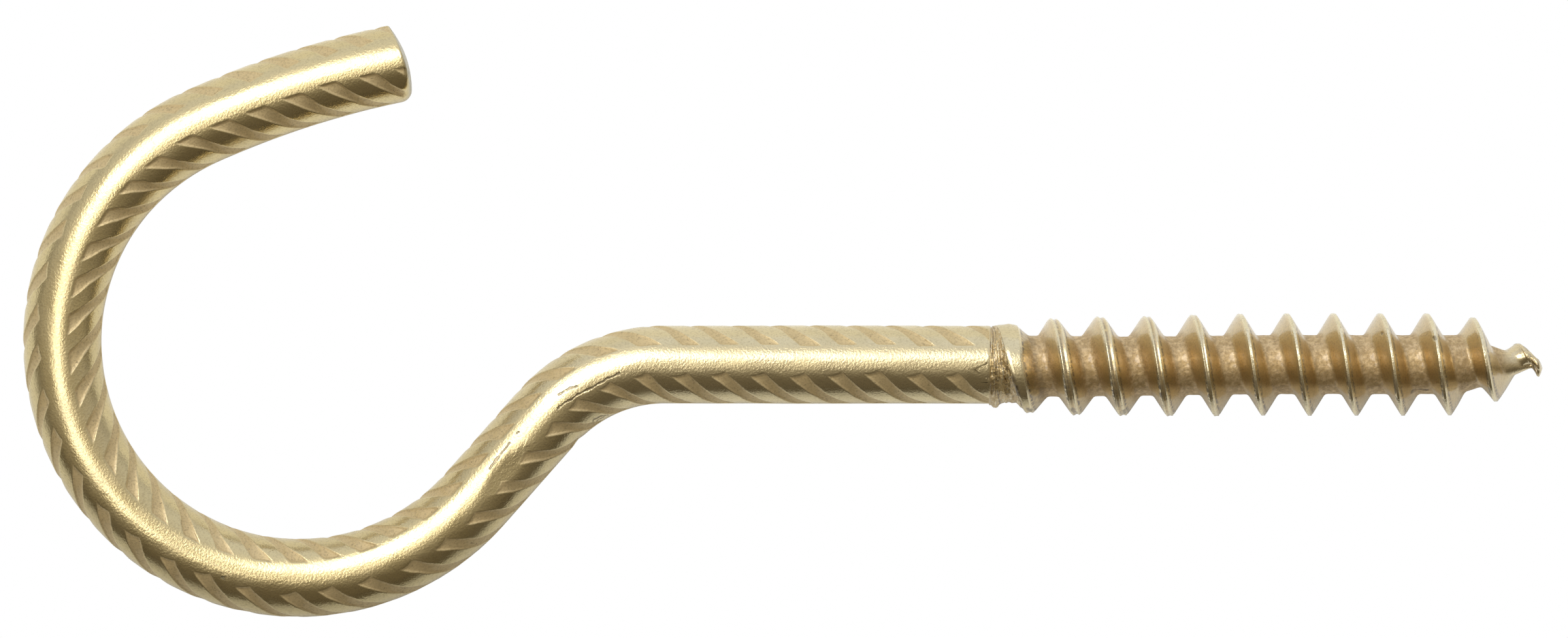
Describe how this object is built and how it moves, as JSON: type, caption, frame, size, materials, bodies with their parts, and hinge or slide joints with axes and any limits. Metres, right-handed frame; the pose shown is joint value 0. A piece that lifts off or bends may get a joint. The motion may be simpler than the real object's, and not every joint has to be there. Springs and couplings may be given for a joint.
{
  "type": "screw hook",
  "caption": "Open screw hook bent from a single length of indented wire, with a round hook at one end and a coarse wood thread with a gimlet point at the other, for hanging things from wood.",
  "frame": {"origin": "on the screw axis, where the thread starts at the end of the plain shank", "axes": "+X along the screw axis toward the point, +Y toward the side that the hook opens on, +Z square to the plane of the hook, which lies flat as it rests"},
  "size_m": [0.1001, 0.0389, 0.0068],
  "materials": {
    "plated_metal": "bright pale-gold plating on the wire, matt in the indents and duller in the thread"
  },
  "bodies": {
    "root": {"screw_hook": "plated_metal"}
  },
  "joints": []
}
